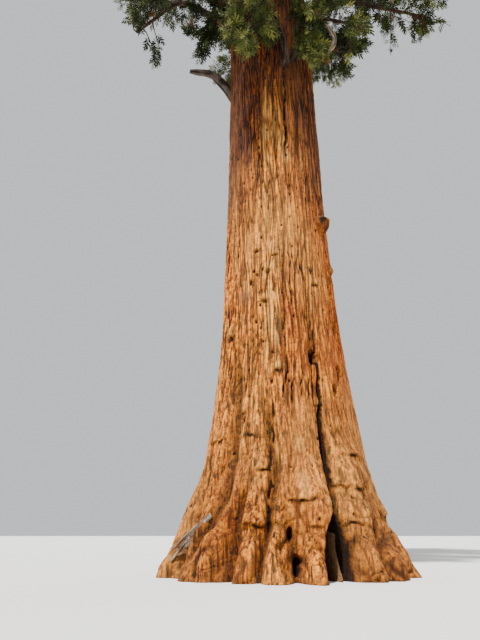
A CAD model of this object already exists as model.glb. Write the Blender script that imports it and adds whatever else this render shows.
import math
from collections import namedtuple
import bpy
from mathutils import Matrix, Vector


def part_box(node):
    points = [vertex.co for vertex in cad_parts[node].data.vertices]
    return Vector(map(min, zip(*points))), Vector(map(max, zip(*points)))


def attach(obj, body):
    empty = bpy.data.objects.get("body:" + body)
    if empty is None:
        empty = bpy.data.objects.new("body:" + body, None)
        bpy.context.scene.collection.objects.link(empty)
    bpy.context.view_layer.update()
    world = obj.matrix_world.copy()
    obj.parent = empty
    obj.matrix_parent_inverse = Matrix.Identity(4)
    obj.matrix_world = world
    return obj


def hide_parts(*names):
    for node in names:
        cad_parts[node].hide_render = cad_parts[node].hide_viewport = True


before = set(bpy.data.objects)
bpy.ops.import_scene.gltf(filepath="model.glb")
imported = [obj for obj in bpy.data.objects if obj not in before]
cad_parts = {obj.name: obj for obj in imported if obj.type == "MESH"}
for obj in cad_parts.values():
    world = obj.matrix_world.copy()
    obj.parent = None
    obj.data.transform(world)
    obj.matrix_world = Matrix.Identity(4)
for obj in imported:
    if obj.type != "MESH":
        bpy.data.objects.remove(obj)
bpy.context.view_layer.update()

from types import SimpleNamespace

import bpy
import numpy as np

# Camera.
# It stands at eye height in front of the tree, a step left of its middle, and looks up at it. The
# lens is the one that gives the photograph's converging trunk.
EYE = (-0.979, -11.93, 0.764)
LOOK_UP_DEGREES = 22.5
FOCAL_PIXELS = 518
PHOTO_HEIGHT_PIXELS = 640
FILM_SIDE = 36.0

camera_data = bpy.data.cameras.new("camera")
camera_data.sensor_width = FILM_SIDE
camera_data.lens = FILM_SIDE * FOCAL_PIXELS / PHOTO_HEIGHT_PIXELS
camera_data.clip_end = 1000
camera = bpy.data.objects.new("camera", camera_data)
camera.location = EYE
camera.rotation_euler = (math.radians(90 + LOOK_UP_DEGREES), 0, 0)
bpy.context.scene.collection.objects.link(camera)
bpy.context.scene.camera = camera

# Trunk.
# One bole of a very old giant sequoia: soft fibrous bark over the wood, furrowed lengthwise, on
# buttresses that swell into rounded toes. It grows as one piece and is fixed by its roots.
TREE_HEIGHT = 40.0
TRUNK_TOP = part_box("trunk")[1].z

BOLE_RADIUS = 1.241
BOLE_VANISH = 39.0
BOLE_POWER = 4.2
BOLE_ROUNDING = 0.9
BUTTRESS_FLARE = 0.955
BUTTRESS_FADE = 3.1
TOE_FLARE = 0.453
TOE_FADE = 1.241
TOP_DRIFT = 0.26
TOP_DRIFT_BEARING = 200
LOBE_ROUNDNESS = 0.55


def rows(kind, *values):
    """A table: one tuple of a kind for each row of values."""
    return [kind(*row) for row in values]


# The creases between the buttresses, and how far the buttress after each stands out.
Crease = namedtuple("Crease", "bearing depth fade reach")
CREASES = rows(
    Crease,
    (-176, 0.21, 2.6, 1.10), (-153, 0.19, 2.5, 1.04), (-119, 0.24, 3.6, 0.97),
    (-106, 0.15, 1.9, 0.95), (-91, 0.33, 1.5, 1.05), (-66, 0.62, 3.9, 1.00),
    (-27, 0.20, 1.7, 1.10), (2, 0.23, 2.7, 0.98), (33, 0.26, 3.3, 1.05), (62, 0.18, 2.1, 0.96),
    (90, 0.34, 3.0, 1.06), (121, 0.20, 2.3, 1.00), (152, 0.26, 2.9, 1.07),
)

# Swellings of the foot: where each sits, how far it stands out, its half width and half height.
Swelling = namedtuple("Swelling", "bearing z out wide tall")
SWELLINGS = rows(
    Swelling,
    (-80, 1.18, 0.17, 0.43, 0.52), (-50, 1.95, 0.11, 0.46, 0.30), (-47, 1.15, 0.12, 0.42, 0.33),
    (-99, 0.56, 0.15, 0.28, 0.33), (-112, 1.90, 0.11, 0.26, 0.42), (-135, 0.90, 0.13, 0.43, 0.48),
    (75, 1.20, 0.15, 0.48, 0.50), (140, 1.50, 0.12, 0.42, 0.45),
)


def outward(bearing):
    """The level direction at a bearing in degrees from +X."""
    turn = np.radians(bearing)
    return np.stack([np.cos(turn), np.sin(turn), np.zeros_like(turn)], axis=-1)


def trunk_axis(z):
    """The trunk's middle line, which drifts a little as it climbs."""
    height = np.asarray(z, float)
    drift = TOP_DRIFT * (np.maximum(height, 0) / TREE_HEIGHT) ** 2
    upright = height[..., None] * np.array([0.0, 0.0, 1.0])
    return upright + drift[..., None] * outward(np.float64(TOP_DRIFT_BEARING))


def sideways(bearing, middle, radius):
    """The signed way round the trunk from a bearing, in metres."""
    return np.radians((bearing - middle + 180) % 360 - 180) * radius


def trunk_radius(bearing, z):
    """The trunk's radius at a bearing and a height, with buttresses, creases and swellings."""
    creases = np.array(CREASES)
    starts = (creases[:, 0] - CREASES[0].bearing) % 360
    turns = (bearing - CREASES[0].bearing) % 360
    here = np.searchsorted(starts, turns, side="right") - 1
    after = (here + 1) % len(CREASES)
    across = (turns - starts[here]) / ((starts[after] - starts[here]) % 360)
    arch = np.sin(np.pi * np.clip(across, 0, 1))
    depths = [creases[side, 1] * np.exp(-z / creases[side, 2]) for side in (here, after)]
    depth = depths[0] * (1 - across) + depths[1] * across
    flare = BUTTRESS_FLARE * np.exp(-z / BUTTRESS_FADE) + TOE_FLARE * np.exp(-z / TOE_FADE)
    bole = BOLE_RADIUS * (1 - (np.maximum(z, 0) / BOLE_VANISH) ** BOLE_POWER) ** BOLE_ROUNDING
    radius = bole + flare * (1 + (creases[here, 3] - 1) * arch)
    radius = radius - depth * (1 - arch**LOBE_ROUNDNESS)
    for swelling in SWELLINGS:
        around = sideways(bearing, swelling.bearing, radius) / swelling.wide
        upwards = (z - swelling.z) / swelling.tall
        radius = radius + swelling.out * np.exp(-(around**2) - upwards**2)
    return radius


NOISE_GAIN = 1.5


def closed_noise(turn, length, cells, tall, seed):
    """Smooth noise from about -1 to 1 that closes round a trunk or a limb. `turn` goes once round
    from 0 to 1 over `cells` swells, and each swell is `tall` metres long."""
    turn, length = np.broadcast_arrays(turn, np.maximum(length, 0))
    count = int(length.max() / tall) + 3
    slope = np.random.default_rng(seed).uniform(0, 2 * np.pi, (count, cells))
    around, along = turn * cells, length / tall
    column, row = np.floor(around).astype(int), np.floor(along).astype(int)
    around, along = around - column, along - row
    ease_around, ease_along = (w**3 * (w * (w * 6 - 15) + 10) for w in (around, along))
    total = np.zeros(turn.shape)
    for right in (0, 1):
        for up in (0, 1):
            corner = slope[row + up, (column + right) % cells]
            rise = np.cos(corner) * (around - right) + np.sin(corner) * (along - up)
            weight = ease_around if right else 1 - ease_around
            total += rise * weight * (ease_along if up else 1 - ease_along)
    return NOISE_GAIN * total


def crease_line(noise, width, layer, z, radius):
    """1 along the lines where a layer's noise changes sign, 0 from half a width away. The noise is
    divided by its own slope, at least half of its usual one, to give a way in metres."""
    around = 2 * np.pi * radius
    spacing = around / noise.shape[1]
    slope_around = (np.roll(noise, -1, axis=1) - np.roll(noise, 1, axis=1)) / (2 * spacing)
    slope = np.hypot(slope_around, np.gradient(noise, z[:, 0], axis=0))
    least_slope = NOISE_GAIN / 2 / np.minimum(around / layer.cells, layer.tall)
    return np.clip(1 - 2 * np.abs(noise) / np.maximum(slope, least_slope) / width, 0, 1)


# Noises: how strong each is, how many swells go round the trunk, how long one is, and its seed.
Noise = namedtuple("Noise", "strength cells tall seed")
RIDGES = rows(Noise, (0.035, 17, 5.0, 11), (0.018, 34, 2.2, 12))
FIBRES = rows(Noise, (0.010, 120, 0.80, 31), (0.009, 230, 0.30, 32))
STRAND_WANDER = rows(Noise, (0.008, 9, 2.2, 1), (0.002, 33, 0.8, 2))
FOLD_WANDER = rows(Noise, (0.09, 40, 0.9, 4), (0.03, 110, 0.2, 10))
CRACK_WANDER = rows(Noise, (0.05, 3, 0.6, 8), (0.03, 5, 0.2, 9))
CLEFT_WANDER = Noise(0.03, 3, 0.5, 8)
VALLEY_WANDER = Noise(0.06, 4, 0.7, 13)
TOE_WANDER = Noise(0.25, 34, 0.5, 14)
ROUGHNESS = Noise(0.5, 90, 0.10, 72)
BURL_KNOBS = Noise(0.045, 60, 0.11, 71)
WEATHER_WANDER = Noise(0.8, 21, 2.4, 16)
WEATHER_STRANDS = Noise(0.9, 70, 1.6, 17)

# Patches: a noise round a mean that isn't 0, cut off below 0 and above a most.
Patch = namedtuple("Patch", "mean strength cells tall seed most", defaults=(1,))
FURROWED = Patch(0.9, 0.6, 13, 1.7, 3)
FOLDED = Patch(0.5, 1.1, 11, 0.7, 5)
TOE_RIM_BREAKS = Patch(0.6, 1.0, 70, 0.25, 12)
SHELF_BREAKS = Patch(0.6, 1.2, 70, 0.25, 12)
CRACK_BREAKS = Patch(0.75, 1.3, 70, 0.25, 12)
PALE_PATCHES = Patch(0.35, 0.55, 8, 3.2, 6)
FLAKED = Patch(0.8, 1.1, 56, 0.45, 15, 1.3)
GREY_PATCHES = Patch(0, 0.5, 10, 2.6, 7)
GREY_STRANDS = Patch(0.3, 1.4, 80, 1.8, 18, 0.85)
PALE_PATCH_MOST = 0.6
GREY_PATCH_MOST = 0.2
MARK_MOST = 1.2

# Layers of lines: how many swells of noise go round the trunk and how long each is, and how deep,
# wide and dark the lines between them are.
Layer = namedtuple("Layer", "cells tall depth width dark seed")
FURROWS = rows(
    Layer,
    (28, 4.4, 0.040, 0.055, 0.80, 21), (60, 2.6, 0.028, 0.040, 0.85, 22),
    (110, 1.3, 0.018, 0.032, 0.80, 23),
)
BULGES = rows(
    Layer,
    (24, 2.20, 0.210, 0.085, 0.70, 41), (46, 0.90, 0.070, 0.050, 0.55, 42),
    (90, 0.30, 0.020, 0.030, 0.25, 43),
)
FOLDS = Layer(15, 0.30, 0.040, 0.040, 0.6, 51)
FURROWS_LOST_AT_FOOT = 0.6
FOOT_HEIGHT = 2.7
BULGE_LEVEL = 0.55
BULGE_ROUNDNESS = 0.5
BULGE_SHADE = 0.45
BULGE_SHADE_WIDTH = 0.30

# Shelves: folds of bark that hang over a dark line, with how far each sags at its middle.
Shelf = namedtuple("Shelf", "bearing z wide sag out")
SHELVES = rows(
    Shelf,
    (-41, 2.27, 0.50, 0.05, 0.075), (-54, 1.70, 0.55, 0.05, 0.090), (-87, 1.44, 0.36, 0.08, 0.085),
    (-111, 0.98, 0.28, 0.06, 0.110), (-116, 2.62, 0.24, -0.03, 0.045),
    (-106, 1.93, 0.17, -0.03, 0.060), (-57, 0.93, 0.24, -0.05, 0.060),
    (-148, 2.62, 0.32, 0.03, 0.055), (-20, 1.20, 0.40, 0.05, 0.080), (20, 1.90, 0.45, 0.05, 0.080),
    (52, 1.05, 0.40, 0.06, 0.090), (103, 1.70, 0.50, 0.05, 0.085), (133, 0.95, 0.35, 0.06, 0.090),
    (170, 1.90, 0.40, 0.04, 0.070),
)
SHELF_SWELL = 0.24
SHELF_LINE = 0.035

# Valleys between the lobes of the foot, by height, with their half width and depth.
Valley = namedtuple("Valley", "heights bearings wide deep")
VALLEYS = rows(
    Valley,
    ([0, 0.7, 0.95, 1.3, 2.0, 3.2, 4.8], [-147, -139, -135, -132, -131, -131, -137], 0.17, 0.195),
    ([0, 0.5, 0.9, 1.35, 2.1], [-121, -121.7, -122, -120, -112], 0.13, 0.182),
    ([0, 0.7, 1.2, 1.9, 2.5, 3.8], [-107, -104.4, -102, -100, -104, -106], 0.12, 0.169),
    ([0, 0.5, 1.05, 1.7], [-90, -91.5, -94, -95], 0.12, 0.195),
    ([0, 0.6, 0.95, 1.5], [-49, -46, -41, -36], 0.11, 0.169),
    ([0, 0.6, 1.2, 2.2], [-14, -12, -10, -12], 0.14, 0.195),
    ([0, 1.0, 2.0, 3.4], [16, 19, 17, 14], 0.16, 0.195),
    ([0, 1.0, 2.2], [46, 49, 45], 0.14, 0.182),
    ([0, 1.0, 2.0, 3.8], [78, 76, 77, 73], 0.17, 0.208),
    ([0, 0.9, 2.0], [106, 104, 107], 0.13, 0.169),
    ([0, 1.0, 2.0, 3.0], [138, 136, 135, 138], 0.16, 0.195),
    ([0, 1.0, 2.4], [169, 166, 167], 0.14, 0.182),
)
VALLEY_FADE = 0.9
VALLEY_SHADE = 0.64

# Toes and knobs: round burls at the ground with a dark rim.
TOES = rows(
    Swelling,
    (-98.6, 0.74, 0.13, 0.17, 0.20), (-112.5, 0.40, 0.09, 0.24, 0.38),
    (-130, 0.42, 0.09, 0.28, 0.40), (-160, 0.34, 0.08, 0.30, 0.36), (-82, 0.40, 0.11, 0.24, 0.42),
    (-57, 0.40, 0.09, 0.20, 0.36), (-39, 0.36, 0.09, 0.22, 0.36), (-24, 0.58, 0.13, 0.24, 0.42),
    (4, 0.50, 0.10, 0.28, 0.42), (32, 0.42, 0.11, 0.26, 0.40), (61, 0.48, 0.09, 0.30, 0.42),
    (92, 0.40, 0.12, 0.26, 0.40), (121, 0.46, 0.09, 0.28, 0.42), (152, 0.40, 0.11, 0.26, 0.38),
)
TOE_ROUNDNESS = 0.6
TOE_RIM = 0.06
TOE_RIM_DEPTH = 0.3
TOE_RIM_TOP = 1.2

# A rib of bare sapwood that stands in the cave.
RIB = Swelling(-67.6, 0.40, 0.66, 0.040, 0.48)
RIB_END = 0.1
RIB_PALE = 0.7
RIB_GREY = 1.2

# Knots where small limbs were lost: a pale cap that stands out over a dark underside.
Knot = namedtuple("Knot", "bearing z size out")
KNOTS = rows(
    Knot,
    (-108.3, 5.69, 0.11, 0.059), (-104.1, 6.43, 0.08, 0.035), (-115.5, 7.03, 0.10, 0.049),
    (-95.9, 6.84, 0.08, 0.038), (-96.9, 4.02, 0.12, 0.049), (-145.3, 4.98, 0.16, 0.070),
    (-55.8, 6.17, 0.09, 0.042), (-126.3, 3.15, 0.12, 0.042), (-63.0, 3.30, 0.09, 0.035),
    (-12, 6.90, 0.12, 0.056), (27, 5.40, 0.14, 0.063), (64, 8.10, 0.12, 0.056),
    (95, 6.00, 0.15, 0.066), (128, 7.40, 0.11, 0.049), (163, 9.20, 0.13, 0.056),
    (40, 10.80, 0.12, 0.056),
)
KNOT_ROUGHNESS = 0.5
KNOT_CAP_ABOVE = 0.5
KNOT_CAP_BELOW = 8
KNOT_HOLLOW_ASIDE = 1.4
KNOT_LOW = 0.65
KNOT_HOLLOW_TALL = 0.45
KNOT_HOLLOW_DEPTH = 0.3
KNOT_PALE = 0.7
KNOT_PALE_FROM = -0.2
KNOT_DARK = 0.95

# Holes and hollows: knot holes and the gaps between two toes.
Hollow = namedtuple("Hollow", "bearing z wide tall deep")
HOLLOWS = rows(
    Hollow,
    (-64.5, 4.33, 0.115, 0.16, 0.26), (-35.5, 4.09, 0.120, 0.17, 0.26),
    (-46, 3.63, 0.085, 0.10, 0.18), (-93, 0.74, 0.055, 0.13, 0.24), (-90, 0.26, 0.080, 0.18, 0.26),
    (-119.4, 6.47, 0.032, 0.045, 0.06), (-115.5, 6.33, 0.036, 0.045, 0.06),
    (-122.3, 6.19, 0.030, 0.040, 0.06), (-116.1, 5.13, 0.032, 0.040, 0.06),
    (-124.6, 2.93, 0.040, 0.055, 0.07), (76, 3.70, 0.100, 0.16, 0.22),
    (147, 5.90, 0.080, 0.12, 0.18),
)
HOLLOW_RIM = 1.2
HOLLOW_ROUNDNESS = 0.5

# Small pits, one in a share of the cells of a lattice round the trunk.
PIT_CELLS = 34
PIT_TALL = 0.30
PIT_SHARE = 0.34
PIT_RADIUS = 0.022
PIT_DEPTH = 0.04
PIT_SEED = 61
PIT_PLACES = (0.3, 0.7)
PIT_SIZES = (0.5, 1.3)
NO_PIT = 0.01
PIT_FLATNESS = 1.4
PIT_SLENDERNESS = 1.6

# Long cracks, each from its top to its foot, in bearing and height.
Crack = namedtuple("Crack", "bearing_top z_top bearing_low z_low wide deep")
CRACKS = rows(
    Crack,
    (-88.3, 4.40, -93.1, 3.25, 0.030, 0.09), (-83.3, 4.20, -88.0, 2.85, 0.030, 0.09),
    (-77.5, 4.25, -79.0, 3.30, 0.026, 0.07), (-66.5, 4.25, -68.5, 3.05, 0.040, 0.10),
    (-71.0, 4.05, -72.5, 3.30, 0.024, 0.06), (-35.0, 4.00, -38.0, 3.45, 0.030, 0.08),
    (-45.5, 5.40, -46.0, 4.70, 0.022, 0.06), (-128.0, 3.70, -129.5, 1.00, 0.040, 0.10),
    (-101.5, 3.60, -104.5, 0.40, 0.040, 0.10), (-82.0, 7.10, -82.6, 5.30, 0.020, 0.05),
    (-137.0, 9.80, -138.0, 6.40, 0.030, 0.06), (-76.0, 13.90, -80.0, 9.60, 0.045, 0.08),
    (14.0, 5.80, 12.0, 2.40, 0.035, 0.09), (58.0, 4.60, 60.0, 1.20, 0.040, 0.11),
    (112.0, 6.10, 114.0, 2.00, 0.040, 0.11), (176.0, 5.00, 173.0, 1.50, 0.035, 0.09),
)
CRACK_END = 1 / 6
CRACK_WIDTHS = (0.5, 1.0)
CRACK_DEPTHS = (0.6, 1.0)

# The deep cleft of the front, by height: its bearing, half width and depth. It opens into a cave.
CLEFT_TOP = 5.0
CLEFT_HEIGHTS = [0.0, 0.5, 0.85, 1.15, 1.5, 2.3, 3.4, CLEFT_TOP]
CLEFT_SHAPES = [
    [-71.2, -71.0, -69.8, -67.4, -65.9, -63.9, -62.1, -61.0],
    [0.310, 0.290, 0.210, 0.100, 0.065, 0.042, 0.030, 0.012],
    [0.900, 0.880, 0.750, 0.500, 0.300, 0.200, 0.160, 0.060],
]
CLEFT_DARKNESS = 5

# Streaks of colour in the bark, each from its foot to its top, with its half width and strength:
# pale where the surface has flaked, grey where bare wood or weathered bark shows.
Streak = namedtuple("Streak", "bearing_low z_low bearing_top z_top wide strength")
PALE_STREAKS = rows(
    Streak,
    (-103, 3.0, -101, 9.4, 0.24, 0.65), (-128, 4.6, -125, 8.8, 0.16, 0.50),
    (-101, 9.3, -103, 12.2, 0.13, 1.10), (-76, 9.2, -97, 11.9, 0.16, 0.90),
    (-84, 1.2, -85, 2.9, 0.16, 0.60), (5, 3.5, 8, 8.5, 0.22, 0.60), (80, 4.0, 78, 9.5, 0.25, 0.70),
    (140, 3.0, 142, 8.0, 0.22, 0.60),
)
GREY_STREAKS = rows(
    Streak,
    (-150, 8.6, -141, 15.0, 0.42, 0.55), (-80, 9.5, -75, 13.0, 0.025, 0.80),
    (-157, 0.30, -138, 1.05, 0.07, 1.30), (-128, 5.70, -129, 6.00, 0.14, 0.60),
    (50, 9.0, 54, 14.0, 0.35, 0.60), (150, 9.5, 156, 15.0, 0.40, 0.70),
)
STREAK_ENDS = 0.6

# Weathering: by bearing, the height where the bark starts to turn dark and red under the crown,
# and the brown stains low on both sides of the front.
WEATHER_BEARINGS = [-150, -125, -101, -85, -62, -35, 20, 110]
WEATHER_HEIGHTS = [7.0, 7.5, 9.7, 9.6, 7.9, 7.0, 7.8, 7.2]
WEATHER_FADE = 3.1
STAINS = rows(
    Swelling,
    (-140, 0.0, 0.60, 1.20, 2.20), (-40, 0.3, 0.75, 1.10, 2.20), (30, 0.0, 0.50, 1.20, 2.20),
    (130, 0.0, 0.50, 1.30, 2.00),
)

# The burl round a lost limb, high on the right of the front: flattened above, drawn out below.
BURL = Swelling(-36, 8.05, 0.21, 0.235, 0.20)
BURL_ABOVE = 1.5
BURL_BELOW = 0.6
BURL_ROUNDNESS = 0.5
BURL_DARK = 0.9
BURL_DARK_SLOPE = -1.6
BURL_PALE = 1.1
BURL_PALE_SLOPE = 1.8
BURL_EDGE = 0.1
BURL_SHADOW_ASIDE = 0.55
BURL_SHADOW_NARROWING = 6
BURL_SHADOW_FLATTENING = 3


def streak_mark(bark, streak):
    """1 along a streak, fading to its sides and ends."""
    share = (bark.z - streak.z_low) / (streak.z_top - streak.z_low)
    middle = streak.bearing_low + (streak.bearing_top - streak.bearing_low) * share
    ends = np.sin(np.pi * np.clip(share, 0, 1)) ** STREAK_ENDS
    aside = sideways(bark.bearing, middle, bark.form) / streak.wide
    return streak.strength * ends * np.exp(-(aside**2))


def pit_mark(turn, z, radius):
    """1 in the middle of each small pit, 0 outside."""
    random = np.random.default_rng(PIT_SEED)
    count = int(TREE_HEIGHT / PIT_TALL) + 1
    place_around, place_up = random.uniform(*PIT_PLACES, (2, count, PIT_CELLS))
    size = random.uniform(*PIT_SIZES, (count, PIT_CELLS))
    size[random.random((count, PIT_CELLS)) > PIT_SHARE] = NO_PIT
    column, row = (turn * PIT_CELLS).astype(int) % PIT_CELLS, (z / PIT_TALL).astype(int)
    around = (turn * PIT_CELLS % 1 - place_around[row, column]) * 2 * np.pi * radius / PIT_CELLS
    up = (z / PIT_TALL % 1 - place_up[row, column]) * PIT_TALL / PIT_SLENDERNESS
    way = (around**2 + up**2) / (PIT_RADIUS * size[row, column]) ** 2
    return np.clip(PIT_FLATNESS - way, 0, 1)


def noise_of(row, turn, z):
    """The noise that a row of a table describes, before its strength."""
    return closed_noise(turn, z, row.cells, row.tall, row.seed)


def swells(turn, z, *noises):
    """The sum of some noises."""
    return sum(noise.strength * noise_of(noise, turn, z) for noise in noises)


def patches(patch, turn, z):
    return np.clip(patch.mean + patch.strength * noise_of(patch, turn, z), 0, patch.most)


def raise_mark(bark, **marks):
    """Raises marks of the bark to the given ones where those are stronger."""
    for mark, values in marks.items():
        setattr(bark, mark, np.maximum(getattr(bark, mark), values))


def sink(bark, depth, mark, dark=1.0):
    """Sinks the bark by a depth where a mark is, and darkens it there."""
    bark.out -= depth * mark
    raise_mark(bark, dark=dark * mark)


def from_middle(bark, feature, wide, tall):
    """How far aside and above a feature's middle the bark is, in half widths and half heights."""
    aside = sideways(bark.bearing, feature.bearing, bark.form) / wide
    return aside, (bark.z - feature.z) / tall


def add_furrows(bark):
    """Ridges and fibres along the strands, and the furrows between them."""
    bark.out = bark.out + swells(bark.strand, bark.z, *RIDGES, *FIBRES)
    strength = patches(FURROWED, bark.turn, bark.z) * (1 - FURROWS_LOST_AT_FOOT * bark.foot)
    for layer in FURROWS:
        noise = noise_of(layer, bark.strand, bark.z)
        line = crease_line(noise, layer.width, layer, bark.z, bark.form) * strength
        sink(bark, layer.depth, line, layer.dark)


def add_bulges(bark):
    """The foot's bulges, with dark lines between them, and folds across them."""
    z, form = bark.z, bark.form
    noises = [noise_of(layer, bark.strand, z) for layer in BULGES]
    for layer, noise in zip(BULGES, noises):
        bark.out += bark.foot * layer.depth * (np.abs(noise) ** BULGE_ROUNDNESS - BULGE_LEVEL)
        line = bark.foot * crease_line(noise, layer.width, layer, z, form)
        raise_mark(bark, dark=layer.dark * line)
    shade = crease_line(noises[0], BULGE_SHADE_WIDTH, BULGES[0], z, form)
    raise_mark(bark, dark=BULGE_SHADE * bark.foot * shade)
    noise = noise_of(FOLDS, bark.turn, bark.level)
    folded = bark.foot * patches(FOLDED, bark.turn, z)
    sink(bark, FOLDS.depth, crease_line(noise, FOLDS.width, FOLDS, z, form) * folded, FOLDS.dark)


def add_valleys(bark):
    bend = swells(bark.turn, bark.z, VALLEY_WANDER)
    for valley in VALLEYS:
        middle = np.interp(bark.z, valley.heights, valley.bearings)
        fade = np.clip((valley.heights[-1] - bark.z) / VALLEY_FADE, 0, 1)
        aside = (sideways(bark.bearing, middle, bark.form) + bend) / valley.wide
        sink(bark, valley.deep, fade * np.exp(-(aside**2)), VALLEY_SHADE)


def add_toes(bark):
    wander = swells(bark.turn, bark.z, TOE_WANDER)
    shade = VALLEY_SHADE * patches(TOE_RIM_BREAKS, bark.turn, bark.z)
    for toe in TOES:
        way = np.hypot(*from_middle(bark, toe, toe.wide, toe.tall)) + wander
        bark.out += toe.out * np.clip(1 - way**2, 0, 1) ** TOE_ROUNDNESS
        rim = np.exp(-(((way - 1) * toe.wide / TOE_RIM) ** 2))
        rim *= bark.z < toe.z + TOE_RIM_TOP * toe.tall
        bark.out -= TOE_RIM_DEPTH * toe.out * rim
        raise_mark(bark, dark=shade * rim)


def add_shelves(bark):
    breaks = patches(SHELF_BREAKS, bark.turn, bark.z)
    for shelf in SHELVES:
        aside = sideways(bark.bearing, shelf.bearing, bark.form) / shelf.wide
        reach = np.exp(-(aside**4))
        above = bark.level - (shelf.z - shelf.sag * (1 - aside**2))
        swell = np.exp(-np.maximum(above, 0) / SHELF_SWELL + np.minimum(above, 0) / SHELF_LINE)
        bark.out += shelf.out * reach * swell
        line = reach * np.exp(-(((above + SHELF_LINE) / SHELF_LINE) ** 2))
        raise_mark(bark, dark=line * breaks)


def add_streaks(bark):
    raise_mark(bark, pale=PALE_PATCH_MOST * patches(PALE_PATCHES, bark.turn, bark.z),
               grey=GREY_PATCH_MOST * patches(GREY_PATCHES, bark.turn, bark.z))
    flaked = patches(FLAKED, bark.strand, bark.z)
    for streak in PALE_STREAKS:
        raise_mark(bark, pale=flaked * streak_mark(bark, streak))
    for streak in GREY_STREAKS:
        raise_mark(bark, grey=streak_mark(bark, streak))


def add_knots(bark):
    rough = KNOT_ROUGHNESS * bark.rough
    for knot in KNOTS:
        aside, above = (way + rough for way in from_middle(bark, knot, knot.size, knot.size))
        cap = np.exp(-(aside**2) - above**2 * np.where(above > 0, KNOT_CAP_ABOVE, KNOT_CAP_BELOW))
        below = ((above + KNOT_LOW) / KNOT_HOLLOW_TALL) ** 2
        below = np.exp(-(aside**2) * KNOT_HOLLOW_ASIDE - below)
        bark.out += knot.out * cap - KNOT_HOLLOW_DEPTH * knot.out * below
        raise_mark(bark, pale=KNOT_PALE * cap * (above > KNOT_PALE_FROM), dark=KNOT_DARK * below)


def add_cracks(bark):
    """Long cracks, wider and deeper towards their foot."""
    bend = swells(bark.turn, bark.z, *CRACK_WANDER)
    breaks = patches(CRACK_BREAKS, bark.turn, bark.z)
    for crack in CRACKS:
        share = (crack.z_top - bark.z) / (crack.z_top - crack.z_low)
        middle = crack.bearing_top + (crack.bearing_low - crack.bearing_top) * share
        ends = np.clip(share / CRACK_END, 0, 1) * np.clip((1 - share) / CRACK_END, 0, 1)
        wide = crack.wide * np.interp(share, (0, 1), CRACK_WIDTHS)
        aside = (sideways(bark.bearing, middle, bark.form) + bend) / wide
        deep = crack.deep * np.interp(share, (0, 1), CRACK_DEPTHS)
        sink(bark, deep, ends * np.exp(-(aside**4)) * breaks)


def add_burl(bark):
    aside, above = from_middle(bark, BURL, BURL.wide, BURL.tall)
    above = np.where(above > 0, BURL_ABOVE * above, BURL_BELOW * above)
    crown = np.clip(1 - aside**2 - above**2, 0, 1) ** BURL_ROUNDNESS
    bark.out += (BURL.out + swells(bark.turn, bark.z, BURL_KNOBS)) * crown
    underside = np.clip(BURL_DARK_SLOPE * above - BURL_EDGE, 0, 1)
    top = np.clip(BURL_PALE_SLOPE * above + BURL_EDGE, 0, 1)
    raise_mark(bark, dark=BURL_DARK * crown * underside, pale=BURL_PALE * crown * top)
    shadow = (aside + BURL_SHADOW_ASIDE) ** 2 * BURL_SHADOW_NARROWING
    raise_mark(bark, dark=np.exp(-shadow - above**2 * BURL_SHADOW_FLATTENING))


def add_holes(bark):
    """Knot holes, hollows between toes, and small pits."""
    for hollow in HOLLOWS:
        aside, above = from_middle(bark, hollow, hollow.wide, hollow.tall)
        inside = np.clip(HOLLOW_RIM + bark.rough - aside**2 - above**2, 0, 1)
        sink(bark, hollow.deep, inside**HOLLOW_ROUNDNESS)
    sink(bark, PIT_DEPTH, pit_mark(bark.turn, bark.z, bark.form))


def add_cleft(bark):
    """The deep cleft, with its cave and the rib of bare wood in it."""
    middle, wide, deep = (np.interp(bark.z, CLEFT_HEIGHTS, shape) for shape in CLEFT_SHAPES)
    bend = swells(bark.turn, bark.z, CLEFT_WANDER)
    aside = (sideways(bark.bearing, middle, bark.form) + bend) / wide
    line = np.exp(-(aside**4)) * (bark.z < CLEFT_TOP)
    bark.out -= deep * line
    raise_mark(bark, dark=np.clip(CLEFT_DARKNESS * line, 0, 1))
    aside = sideways(bark.bearing, RIB.bearing, bark.form) / RIB.wide
    rib = np.exp(-(aside**4)) * np.clip((RIB.z + RIB.tall - bark.z) / RIB_END, 0, 1)
    bark.out += RIB.out * rib
    bark.dark = bark.dark * (1 - rib)
    raise_mark(bark, pale=RIB_PALE * rib, grey=RIB_GREY * rib)


def add_weathering(bark):
    """Dark red bark with grey strands under the crown, and the brown stains of the foot."""
    edge = np.interp(bark.bearing, WEATHER_BEARINGS, WEATHER_HEIGHTS, period=360)
    edge = edge + swells(bark.turn, bark.z, WEATHER_WANDER)
    edge = edge + swells(bark.strand, bark.z, WEATHER_STRANDS)
    bark.weathered = np.clip((bark.z - edge) / WEATHER_FADE, 0, 1)
    raise_mark(bark, grey=bark.weathered * patches(GREY_STRANDS, bark.strand, bark.z))
    for stain in STAINS:
        aside, above = from_middle(bark, stain, stain.wide, stain.tall)
        raise_mark(bark, weathered=stain.out * np.exp(-(aside**2) - above**2))


def bark_surface(bearing, z):
    """The radius with the bark's relief, and its marks from 0 to 1: how dark, pale, grey and
    weathered the bark is."""
    bearing, z = np.broadcast_arrays(bearing, z)
    turn = (bearing / 360) % 1
    bark = SimpleNamespace(
        bearing=bearing, z=z, turn=turn, form=trunk_radius(bearing, z),
        strand=(turn + swells(turn, z, *STRAND_WANDER)) % 1,
        level=z + swells(turn, z, *FOLD_WANDER),
        foot=np.exp(-((z / FOOT_HEIGHT) ** 2)), rough=swells(turn, z, ROUGHNESS),
        out=0, dark=0, pale=0, grey=0, weathered=0,
    )
    for add in (add_furrows, add_bulges, add_valleys, add_toes, add_shelves, add_streaks,
                add_knots, add_cracks, add_burl, add_holes, add_cleft, add_weathering):
        add(bark)
    marks = {"dark": bark.dark, "pale": np.clip(bark.pale, 0, MARK_MOST),
             "grey": np.clip(bark.grey, 0, MARK_MOST), "weathered": bark.weathered}
    return bark.form + bark.out, marks


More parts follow.
